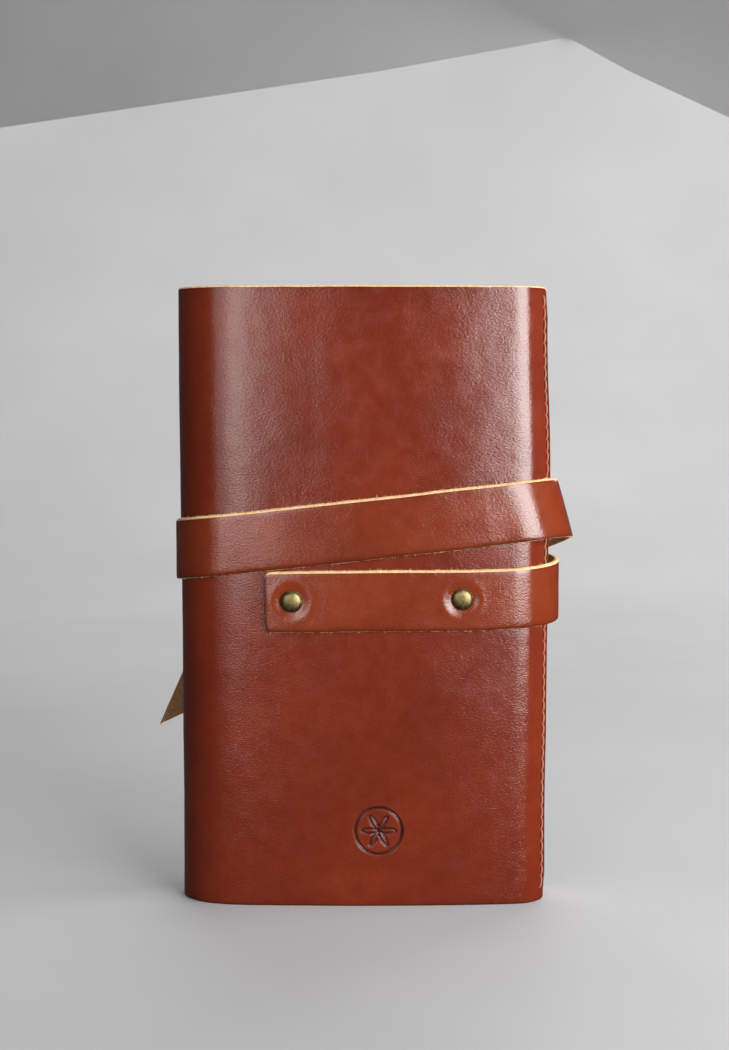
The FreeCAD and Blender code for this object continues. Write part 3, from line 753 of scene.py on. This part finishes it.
# ------------------------------------------------------------------ pocket strips
def strip_solid(name, outer, inner, z0, z1, mats, seed, nz=120):
    """A thin leather strip from two matching section lines, extruded in z with small unevenness."""
    b = Build()
    outer, inner = np.asarray(outer, float), np.asarray(inner, float)
    zs = np.linspace(z0, z1, nz)
    k = len(outer)
    seg = np.r_[0, np.cumsum(np.hypot(*(outer[1:] - outer[:-1]).T))]
    ring = np.concatenate([outer, inner[::-1]])
    P = np.zeros((2 * k, nz, 3))
    G = np.zeros((2 * k, nz, 3))
    ss = np.r_[seg, seg[::-1]]
    for i in range(2 * k):
        P[i, :, 0], P[i, :, 1], P[i, :, 2] = ring[i, 0], ring[i, 1], zs
        P[i, :, 0] += 0.12 * noise2(zs, zs * 0 + 3, 16.0, seed) * math.exp(-(ss[i] / 2.0) ** 2)
        G[i, :, 0], G[i, :, 1] = ss[i] + (500 if i >= k else 0), zs
    base = b.verts(P, G, rim=np.repeat(np.exp(-((np.r_[seg, seg[::-1]]) / 1.0) ** 2)[:, None], nz, 1))
    n = 2 * k
    i, j = np.meshgrid(np.arange(n), np.arange(nz - 1), indexing="ij")
    i, j = i.ravel(), j.ravel()
    i2 = (i + 1) % n
    q = np.stack([base + i * nz + j, base + i2 * nz + j, base + i2 * nz + j + 1, base + i * nz + j + 1], 1)
    mi = np.where(i < k - 1, 1, np.where(i == k - 1, 2, np.where(i < 2 * k - 1, 0, 2)))
    b.faces(q, mi)
    for j, fl in ((0, True), (nz - 1, False)):
        c = []
        for a in range(k - 1):
            v = [base + a * nz + j, base + (a + 1) * nz + j, base + (2 * k - 2 - a) * nz + j, base + (2 * k - 1 - a) * nz + j]
            c.append(v[::-1] if fl else v)
        b.faces(c, 2)
    return b.make(name, mats, sharp_deg=35)


def curl_pt(deg, r):
    a = math.radians(deg)
    return (CURL_C[0] + r * math.sin(a), CURL_C[1] - r * math.cos(a))


def big_pt(x, off):
    a = math.asin(x / BIG_R)
    return ((BIG_R + off) * math.sin(a), BIG_Y - (BIG_R + off) * math.cos(a))


ro, ri = CURL_R - T - 0.1, CURL_R - T - 1.1
angs = [30, 36, 42, 48, 54, 60, 66, CURL_END - 1.5]
o = [(10.0, -14.6), (10.6, -14.6)] + [(x, -14.6) for x in np.linspace(14, 54.2, 12)] + [curl_pt(a, ro) for a in angs]
i_ = [(10.0, -13.65), (10.6, -13.6)] + [(x, -13.6) for x in np.linspace(14, 54.4, 12)] + [curl_pt(a, ri) for a in angs]
rp = strip_solid("pocket_strip_rear", o, i_, 2.5, 218.5, [LINING, FLESH, EDGE], 31)
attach(rp, "rear_cover"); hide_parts("rear_pocket_strip")
xs = [10.0, 10.6] + list(np.linspace(14, CURL_X, 14))
an2 = [10, 18, 26] + angs
o = [big_pt(x, -T - 0.1) for x in xs] + [curl_pt(a, ro) for a in an2]
i_ = [big_pt(x, -T - 1.1) for x in xs] + [curl_pt(a, ri) for a in an2]
o = [(x, -y) for x, y in o]
i_ = [(x, -y) for x, y in i_]
fp = strip_solid("pocket_strip_front", i_, o, 2.5, 218.5, [FLESH, LINING, EDGE], 32)
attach(fp, "front_cover"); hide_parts("front_pocket_strip")

# ------------------------------------------------------------------ hand stitching
def stitches(name, mirror, body, node):
    b = Build()
    g = np.random.default_rng(77 + mirror)
    sg = -1 if mirror else 1
    for side in (0, 1):
        for k in range(ST_N):
            z0, z1 = ST_Z0 + k * PITCH, ST_Z0 + (k + 1) * PITCH
            back = (k in (3, 4) or k in (45, 46, 47)) and side == 0
            for rep in range(2 if back else 1):
                n, m = 9, 8
                t = np.linspace(0, 1, n)
                z = z0 + (z1 - z0) * t
                lean = 0.34 * (0.5 - t) * (1 if side == 0 else -1) + (0.2 if rep else 0.0)
                if side == 0:
                    u = SEAM_IN + lean + g.normal(0, 0.03)
                    h = -0.30 + 0.52 * np.sin(math.pi * np.clip(t, 0, 1)) ** 0.45 + (0.12 if rep else 0)
                    uu = (L_ALL - u) if mirror else u
                    c = cover_point(np.broadcast_to(uu, z.shape) * 1.0, z, h)
                else:
                    deg = CURL_END - math.degrees((SEAM_IN + 0.0) / CURL_R) + np.degrees(lean / 10.3)
                    h = -0.25 + 0.45 * np.sin(math.pi * t) ** 0.45
                    rr = ri - h
                    a = np.radians(deg)
                    c = np.stack([CURL_C[0] + rr * np.sin(a), (CURL_C[1] - rr * np.cos(a)) * sg, z], -1)
                d = np.gradient(c, axis=0)
                d /= np.linalg.norm(d, axis=1)[:, None]
                nrm = np.array([math.sin(math.radians(66)), -math.cos(math.radians(66)) * sg, 0.0])
                s = np.cross(d, nrm)
                s /= np.linalg.norm(s, axis=1)[:, None]
                w = np.cross(s, d)
                rad = (0.40 + g.normal(0, 0.012)) * (0.55 + 0.45 * np.sin(math.pi * t) ** 0.5)
                P, G = [], []
                for j in range(m):
                    an = 2 * math.pi * j / m
                    tw = 1 + 0.05 * np.sin(6 * math.pi * t + an)
                    P.append(c + (s * math.cos(an) * 1.08 + w * math.sin(an) * 0.85) * (rad * tw)[:, None])
                    G.append(np.stack([np.full(n, j * 0.32) + k * 7.1, z, np.zeros(n)], -1))
                base = b.verts(np.stack(P, 1), np.stack(G, 1))
                b.grid(base, n, m, 0, wrap_v=True, flip=(side == 0) == (not mirror))
                b.faces([[base + j for j in range(m)][::1]], 0)
                b.faces([[base + (n - 1) * m + j for j in range(m)][::-1]], 0)
    ob = b.make(name, [THREAD])
    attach(ob, body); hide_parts(node)


stitches("seam_stitches_rear", False, "rear_cover", "rear_seam_thread")
stitches("seam_stitches_front", True, "front_cover", "front_seam_thread")

# ------------------------------------------------------------------ strap
TURN_R = BIG_R - math.hypot(TURN_X, BIG_Y)
A_TURN = math.atan2(TURN_X, BIG_Y)
X_T = TURN_X + TURN_R * math.sin(A_TURN)
LF = BIG_R * (math.asin(X_T / BIG_R) + AJ)
LT = TURN_R * (math.pi - 2 * A_TURN)
LOOP = 2 * LF + LT + L_SP


def loop_pt(u, off):
    u = u % LOOP
    if u < LF:
        a = u / BIG_R - AJ
        r = BIG_R + off
        return (r * math.sin(a), BIG_Y - r * math.cos(a))
    u -= LF
    if u < LT:
        a = -math.pi / 2 + A_TURN + u / TURN_R
        r = TURN_R + off
        return (TURN_X + r * math.cos(a), r * math.sin(a))
    u -= LT
    if u < LF:
        a = math.asin(X_T / BIG_R) - u / BIG_R
        r = BIG_R + off
        return (r * math.sin(a), -BIG_Y + r * math.cos(a))
    u -= LF
    a = math.radians(360.0 - START) + u / SPINE_R
    r = SPINE_R + off
    return (SPINE_X + r * math.cos(a), r * math.sin(a))


def u_rear(x):
    return BIG_R * (math.asin(x / BIG_R) + AJ)


def u_front(x):
    return LF + LT + BIG_R * (math.asin(X_T / BIG_R) - math.asin(x / BIG_R))


Z_KEYS = [
    (u_rear(STRAP_END_X), 108.7), (u_rear(0.0), 109.2), (u_rear(X_T), 109.9), (u_front(X_T), 115.2),
    (u_front(0.0), 119.8), (u_front(JOIN_X), 124.0), (LOOP + u_rear(JOIN_X) - L_SP / 2, 126.2),
    (LOOP, 128.9), (LOOP + u_rear(0.0), 134.4), (LOOP + u_rear(48.0), 139.75),
]


def z_mid(u):
    n = len(Z_KEYS)
    sl = [(Z_KEYS[i + 1][1] - Z_KEYS[i][1]) / (Z_KEYS[i + 1][0] - Z_KEYS[i][0]) for i in range(n - 1)]
    m = [sl[0]] + [0.5 * (sl[i - 1] + sl[i]) for i in range(1, n - 1)] + [math.tan(BAND_SLOPE)]
    for i in range(n - 1):
        if u <= Z_KEYS[i + 1][0] or i == n - 2:
            u0, z0 = Z_KEYS[i]
            u1, z1 = Z_KEYS[i + 1]
            h = u1 - u0
            t = (u - u0) / h
            return ((2 * t ** 3 - 3 * t ** 2 + 1) * z0 + (t ** 3 - 2 * t ** 2 + t) * h * m[i]
                    + (-2 * t ** 3 + 3 * t ** 2) * z1 + (t ** 3 - t ** 2) * h * m[i + 1])


def gap_at(u):
    g = RIV_GAP + (GAP - RIV_GAP) * float(smooth((u - u_rear(25.0)) / 28.0))
    up = float(smooth((u - (u_front(X_T) - 14.0)) / 16.0)) * (1 - float(smooth((u - u_front(-30.0)) / 16.0)))
    return g + LIFT * up


E = (math.cos(FOLD_TILT), math.sin(FOLD_TILT))
C = (-math.sin(FOLD_TILT), math.cos(FOLD_TILT))
BETA = FOLD_TILT - BAND_SLOPE


def flat_y(x, off):
    if x >= 0:
        return max(FOLD_R, -big_y(min(x, X_T)) + GAP) + off
    if x > JOIN_X:
        return -big_y(x) + GAP + off
    return -big_y(JOIN_X) + GAP + off + (x - JOIN_X) * 0.075


def fold_base(a, b, off):
    if a < 0:
        x = FOLD_AXIS[0] + a * E[0] + b * C[0]
        return (x, -flat_y(x, off), FOLD_AXIS[1] + a * E[1] + b * C[1])
    half = math.pi * FOLD_R
    if a > half:
        x = FOLD_AXIS[0] - (a - half) * E[0] + b * C[0]
        return (x, flat_y(x, off), FOLD_AXIS[1] - (a - half) * E[1] + b * C[1])
    t = a / FOLD_R
    s = (FOLD_R + off) * math.sin(t)
    return (FOLD_AXIS[0] + s * E[0] + b * C[0], -(FOLD_R + off) * math.cos(t), FOLD_AXIS[1] + s * E[1] + b * C[1])


FOLD_K = [(d, math.exp(-0.5 * (d / 3.2) ** 2)) for d in np.linspace(-8.0, 8.0, 17)]
FOLD_KS = sum(k[1] for k in FOLD_K)


def fold_pt(a, b, off):
    """The strap eases into the fold: its path is averaged over a short length."""
    p = [0.0, 0.0, 0.0]
    for d, wk in FOLD_K:
        q = fold_base(a + d, b, off)
        for i in range(3):
            p[i] += q[i] * wk / FOLD_KS
    return tuple(p)


U0 = u_rear(STRAP_END_X)
U_END = LOOP + u_rear(44.0)
XE, ZE = 44.0, z_mid(U_END)
A_S = (XE - FOLD_AXIS[0]) * E[0] + (ZE - FOLD_AXIS[1]) * E[1]
B_S = (XE - FOLD_AXIS[0]) * C[0] + (ZE - FOLD_AXIS[1]) * C[1]
S_LOOP = U_END - U0


def strap_pt(s, w, n):
    """s along the strap from its riveted end, w across it (up is positive), n out from its inner face."""
    if s <= S_LOOP:
        u = U0 + s
        sl = math.atan2(z_mid(u + 0.5) - z_mid(u - 0.5), 1.0)
        x, y = loop_pt(u - w * math.sin(sl), gap_at(u) + n)
        return (x, y, z_mid(u) + w * math.cos(sl))
    q = s - S_LOOP
    return fold_pt(A_S + q * math.cos(BETA) + w * math.sin(BETA), B_S - q * math.sin(BETA) + w * math.cos(BETA), n)


lo_s, hi_s = S_LOOP + 80.0, S_LOOP + 260.0
for _ in range(50):
    md = 0.5 * (lo_s + hi_s)
    if strap_pt(md, -STRAP_W / 2, 0.0)[0] > TAIL_TIP_X:
        lo_s = md
    else:
        hi_s = md
S_TIP = lo_s
S_SPLIT = u_rear(SPLIT_X) - U0


def section(hw):
    """Closed section of the strap: (w, n, material, rim) going round from the lower outer corner; rim darkens the
    outer face, fully at the lower corners as painted shade.
    """
    pts = []
    r, rl = 0.78, 0.26
    for t in np.linspace(0, 1, 19):
        w = -hw + rl + (2 * hw - r - rl) * t
        e = min(w + hw, hw - w)
        pts.append((w, T - 0.10 * (1 - float(smooth(e / 1.6))), 0, math.exp(-(e / 0.9) ** 2) + 0.3 * math.exp(-(e / 3.0) ** 2)))
    for a in (35, 75):
        pts.append((hw - r + r * math.sin(math.radians(a)), T - 0.10 - r + r * math.cos(math.radians(a)), 1, 0))
    for t in (0.56, 0.68, 0.80, 0.92):
        pts.append((hw + 0.05 * math.sin(t * 3.14), T * (1 - t), 1, 0))
    for t in np.linspace(0, 1, 9):
        pts.append((hw - 0.08 - (2 * hw - 0.16) * t, 0.0, 2, 0))
    for t in (0.88, 0.7, 0.5, 0.3):
        pts.append((-hw - 0.05 * math.sin(t * 3.14), T * (1 - t), 1, 0))
    # the lower corners stay outer leather, fully darkened through rim: painted shade on the lower edge
    for a in (75, 35):
        pts.append((-hw + rl - rl * math.sin(math.radians(a)), T - 0.10 - rl + rl * math.cos(math.radians(a)), 0, 1.0))
    return pts


def build_strap(name, s0, s1, ds, rivets, round_end, tail, seed):
    b = Build()
    g = np.random.default_rng(seed)
    ss = list(np.arange(s0, s1, ds)) + [s1]
    if round_end:
        ss = list(s0 + np.array([0, 0.12, 0.3, 0.55, 0.9, 1.3])) + [s for s in ss if s > s0 + 1.6]
    ss = np.array(ss)
    hw0 = STRAP_W / 2
    P, G, RM = [], [], []
    base_sec = section(hw0)
    m = len(base_sec)
    for s in ss:
        hw = hw0 + 0.10 * float(noise2(s, 3.0, 17.0, seed + 1))
        if round_end and s - s0 < 1.6:
            d = s - s0
            hw -= 1.6 - math.sqrt(max(1.6 ** 2 - (1.6 - d) ** 2, 0.0))
        row_p, row_g, row_r = [], [], []
        for w, n, mat, rm in section(hw):
            se = s
            if tail and s > s1 - 60.0:
                # the pointed end: the upper edge stops short of the lower one
                f = (s - (s1 - 60.0)) / 60.0
                se = s1 - 60.0 + f * (60.0 - TAIL_CUT * (w + hw) / (2 * hw))
            nn = n
            if mat == 1:
                w = w + 0.11 * float(noise2(s * 3.0 + n * 9.0, w, 1.9, seed + 2)) + 0.05 * float(g.normal())
            if mat != 1:
                nn += 0.05 * float(noise2(s, w, 9.0, seed + 3))
            if mat == 2:
                nn = max(nn, 0.0) * 0.3
            if rivets and mat == 0:
                px, py_, pz = strap_pt(se, w, nn)
                for rx, rz in RIVETS:
                    d = math.hypot(px - rx, pz - rz)
                    nn -= 0.42 * (1.0 if d < 3.9 else math.exp(-((d - 3.9) / 1.55) ** 2))
                    nn += 0.10 * math.exp(-((d - 7.2) / 1.3) ** 2)
            if round_end and s - s0 < 0.9 and mat == 0:
                nn -= 0.12 * (1 - (s - s0) / 0.9) ** 2
            row_p.append(strap_pt(se, w, nn))
            row_g.append((se + 1000.0, w + (60.0 if mat == 2 else 0.0), n if mat == 1 else 0.0))
            row_r.append(max(rm, math.exp(-((s - s0) / 0.9) ** 2)) if round_end else rm)
        P.append(row_p); G.append(row_g); RM.append(row_r)
    P, G, RM = np.array(P), np.array(G), np.array(RM)
    k = len(ss)
    base = b.verts(P, G, RM)
    mats = [p[2] for p in base_sec]
    for j in range(m):
        j2 = (j + 1) % m
        mi = 0 if (mats[j] == 0 and mats[j2] == 0) else (2 if (mats[j] == 2 and mats[j2] == 2) else 1)
        ii = np.arange(k - 1)
        q = np.stack([base + ii * m + j, base + (ii + 1) * m + j, base + (ii + 1) * m + j2, base + ii * m + j2], 1)
        b.faces(q, mi)
    # ends: quads and two polygons from the section ring keep the cut face tidy
    for i, fl in ((0, True), (k - 1, False)):
        cen = P[i].mean(0)
        ring = P[i]
        c0 = b.verts(ring, np.stack([np.full(m, 1900.0), [p[0] for p in base_sec], [p[1] for p in base_sec]], -1))
        cc = b.verts(cen[None], np.array([[1900.0, 0.0, T / 2]]))
        # pair outer-face points with inner-face points so that the end is a clean strip of quads
        outer = [c0 + j for j in range(0, 19)]
        inn = [c0 + 25 + int(round((18 - j) / 18 * 8)) for j in range(0, 19)]
        for j in range(18):
            quad = [outer[j], outer[j + 1], inn[j + 1], inn[j]]
            quad = list(dict.fromkeys(quad))
            b.faces([quad if fl else quad[::-1]], 1)
        up_ = [c0 + j for j in range(18, 26)]
        dn_ = [c0 + j % m for j in range(33, m + 1)]
        for lst in (up_, dn_):
            b.faces([lst if fl else lst[::-1]], 1)
    # hairs along both long edges
    for sgn, count in ((1, 3.4), (-1, 2.2)):
        kf = int((s1 - s0) * count)
        j_edge = [j for j in range(m) if mats[j] == 1 and (base_sec[j][0] > 0) == (sgn > 0)]
        ii = g.integers(0, k, kf)
        jj = g.choice(j_edge, kf)
        pts = P[ii, jj]
        dirs = P[ii, jj] - P[ii, (9 if True else 0)]
        dirs = P[ii, 18 if sgn > 0 else 0] - P[ii, 9]
        dirs /= np.linalg.norm(dirs, axis=1)[:, None]
        b.fibres(pts, dirs, 1, 0.25, 0.95, 0.045, seed + 5 + sgn)
        n_c = kf // (5 if sgn > 0 else 7)
        b.fibres(pts[:n_c], dirs[:n_c], 1, 0.3, 0.95, 0.15, seed + 15 + sgn)
    ob = b.make(name, [STRAP, EDGE, FLESH], sharp_deg=50)
    return ob


se = build_strap("strap_riveted_run", 0.0, S_SPLIT, 0.55, True, True, False, 300)
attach(se, "rear_cover"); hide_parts("strap_riveted_end")
sw = build_strap("strap_wrap_run", S_SPLIT, S_TIP, 1.0, False, False, True, 400)
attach(sw, "rear_cover"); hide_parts("strap_wrap")
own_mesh(sw)

# ------------------------------------------------------------------ rivets
def lathe(b, prof, cx, cy, cz, n=48, mi=0):
    P = []
    for r, h in prof:
        a = np.linspace(0, 2 * math.pi, n, endpoint=False)
        P.append(np.stack([cx + r * np.cos(a), np.full(n, cy - h), cz + r * np.sin(a)], -1))
    base = b.verts(np.array(P))
    b.grid(base, len(prof), n, mi, wrap_v=True, flip=True)
    b.faces([[base + j for j in range(n)][::-1]], mi)
    b.faces([[base + (len(prof) - 1) * n + j for j in range(n)]], mi)


b = Build()
for rx, rz in RIVETS:
    ys = big_y(rx, RIV_GAP + T) + 0.34
    prof = [(3.2, 0.0), (3.62, 0.02), (3.84, 0.16), (3.9, 0.36), (3.84, 0.56), (3.66, 0.70), (3.46, 0.80)]
    for t in np.linspace(0.12, 1, 13):
        a = t * math.pi / 2
        prof.append((3.46 * math.cos(a) ** 0.92 + 0.001 if t < 1 else 0.02, 0.80 + 0.86 * math.sin(a) ** 1.2))
    lathe(b, prof, rx, ys, rz)
rv = b.make("rivet_domes", [BRASS], sharp_deg=60)
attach(rv, "rear_cover"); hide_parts("rivet_caps")

# ------------------------------------------------------------------ refill: folded sheets in each signature
def signature(k):
    nm = "signature_%d" % k
    lo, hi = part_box(nm)
    lo, hi = np.array(lo) * 1000 - [SX, SY, 0], np.array(hi) * 1000 - [SX, SY, 0]
    b = Build()
    g = np.random.default_rng(900 + k)
    folds = 5
    half = 0.5 * (hi[1] - lo[1])
    cy = 0.5 * (hi[1] + lo[1])
    th = half / folds
    for f in range(folds):
        r_o = half - f * th
        r_i = r_o - th * 0.86
        x_end = hi[0] - 0.05 - g.uniform(0, 0.28) + 0.04 * f
        z0, z1 = lo[2] + g.uniform(0, 0.25), hi[2] - g.uniform(0, 0.25)
        xo = lo[0] + half
        arc_o = [(xo - r_o * math.cos(a), cy + r_o * math.sin(a)) for a in np.linspace(-math.pi / 2, math.pi / 2, 9)]
        arc_i = [(xo - max(r_i, 0.02) * math.cos(a), cy + max(r_i, 0.02) * math.sin(a)) for a in np.linspace(-math.pi / 2, math.pi / 2, 9)]
        xs_ = np.linspace(x_end, xo, 8)[:-1]
        out = [(x, cy - r_o) for x in xs_] + arc_o + [(x, cy + r_o) for x in xs_[::-1]]
        inn = [(x, cy - max(r_i, 0.02)) for x in xs_] + arc_i + [(x, cy + max(r_i, 0.02)) for x in xs_[::-1]]
        kk = len(out)
        ring = np.array(out + inn[::-1])
        nz = 12
        zs = np.linspace(z0, z1, nz)
        P = np.zeros((2 * kk, nz, 3))
        P[..., 0] = ring[:, 0:1]
        P[..., 1] = ring[:, 1:2]
        P[..., 2] = zs
        base = b.verts(P, P)
        i, j = np.meshgrid(np.arange(2 * kk), np.arange(nz - 1), indexing="ij")
        i, j = i.ravel(), j.ravel()
        i2 = (i + 1) % (2 * kk)
        b.faces(np.stack([base + i * nz + j, base + i * nz + j + 1, base + i2 * nz + j + 1, base + i2 * nz + j], 1), 0)
        for j, fl in ((0, False), (nz - 1, True)):
            c = []
            for a in range(kk - 1):
                v = [base + a * nz + j, base + (a + 1) * nz + j, base + (2 * kk - 2 - a) * nz + j, base + (2 * kk - 1 - a) * nz + j]
                c.append(v[::-1] if fl else v)
            b.faces(c, 0)
    ob = b.make("folded_sheets_%d" % k, [PAPER], sharp_deg=30)
    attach(ob, "refill" if k <= 4 else "refill_front"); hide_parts(nm)


for k in range(1, 9):
    signature(k)

for n, mat in (("refill_rear_card", KRAFT), ("refill_front_card", KRAFT), ("spine_lining_rear", CLOTH),
               ("spine_lining_front", CLOTH), ("rivet_posts", BRASS)):
    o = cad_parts[n]
    o.data.materials.clear()
    o.data.materials.append(mat)

# ------------------------------------------------------------------ floor, light, camera
fl = Mat("pale_floor")
fv = fl.objmm()
fcol = fl.ramp(fl.noise(fv, 0.004, 3.0), [(0.3, (0.37, 0.37, 0.375)), (0.7, (0.41, 0.41, 0.415))])
fl.put(fl.b.inputs["Base Color"], fcol)
fl.b.inputs["Roughness"].default_value = 0.75
b = Build()
prof = [(-3500.0, 0.0), (900.0, 0.0)]
for a in np.linspace(0, math.pi / 2, 16)[1:]:
    prof.append((900.0 + 900.0 * math.sin(a), 900.0 - 900.0 * math.cos(a)))
prof.append((1800.0, 4200.0))
P = np.array([[(x, y - SY, z) for y, z in prof] for x in (-5000.0, 5000.0)])
base = b.verts(P)
b.grid(base, 2, len(prof), 0)
floor = b.make("floor_sweep", [fl.m])
floor.visible_glossy = False


def area(name, az, dist, z, w, h, power, color=(1, 1, 1), aim=(0, 0, 0.11), spread=None):
    """Area light; azimuth 0 is straight in front (-Y), positive to the right."""
    l = bpy.data.lights.new(name, "AREA")
    l.shape = "RECTANGLE"
    l.size, l.size_y = w, h
    l.energy = power
    l.color = color
    if spread is not None:
        l.spread = spread
    o = bpy.data.objects.new(name, l)
    a = math.radians(az)
    o.location = (dist * math.sin(a), -dist * math.cos(a), z)
    d = Vector(aim) - o.location
    o.rotation_euler = d.to_track_quat("-Z", "Y").to_euler()
    bpy.context.scene.collection.objects.link(o)
    return o


area("key_right", 34.0, 1.25, 0.40, 0.72, 0.80, 24.5)
side = area("side_right", 80.0, 1.3, 0.45, 1.2, 1.2, 29.0)
side.visible_glossy = False
area("fill_left", -16.5, 1.3, 0.36, 0.27, 0.7, 3.0)
area("fill_left_wide", -29.0, 1.3, 0.36, 0.40, 0.7, 1.5)
area("top_soft", 10.0, 0.35, 1.5, 1.2, 1.0, 2.4)
area("back_right", 155.0, 1.6, 0.9, 1.0, 1.0, 11.0)
area("back_left", -172.0, 1.6, 0.9, 1.0, 1.0, 11.0)
w = bpy.data.worlds.new("studio")
bpy.context.scene.world = w
w.use_nodes = True
bg = w.node_tree.nodes["Background"]
bg.inputs[0].default_value = (0.9, 0.94, 1.0, 1)
bg.inputs[1].default_value = 0.05
bpy.context.scene.view_settings.view_transform = "Standard"

F_PX, DIST, EYE, PITCH_DEG = 1850.0, 0.670, 0.1735, 3.3
cam_d = bpy.data.cameras.new("camera")
cam = bpy.data.objects.new("camera", cam_d)
bpy.context.scene.collection.objects.link(cam)
cam_d.sensor_fit = "VERTICAL"
cam_d.sensor_height = 36.0
cam_d.lens = F_PX * 36.0 / 1050.0
cam_d.clip_start, cam_d.clip_end = 0.01, 50.0
cam.location = (SX * 0.001, -DIST + SY * 0.001, EYE)
cam.rotation_euler = (math.radians(90.0 - PITCH_DEG), 0, 0)
bpy.context.scene.camera = cam
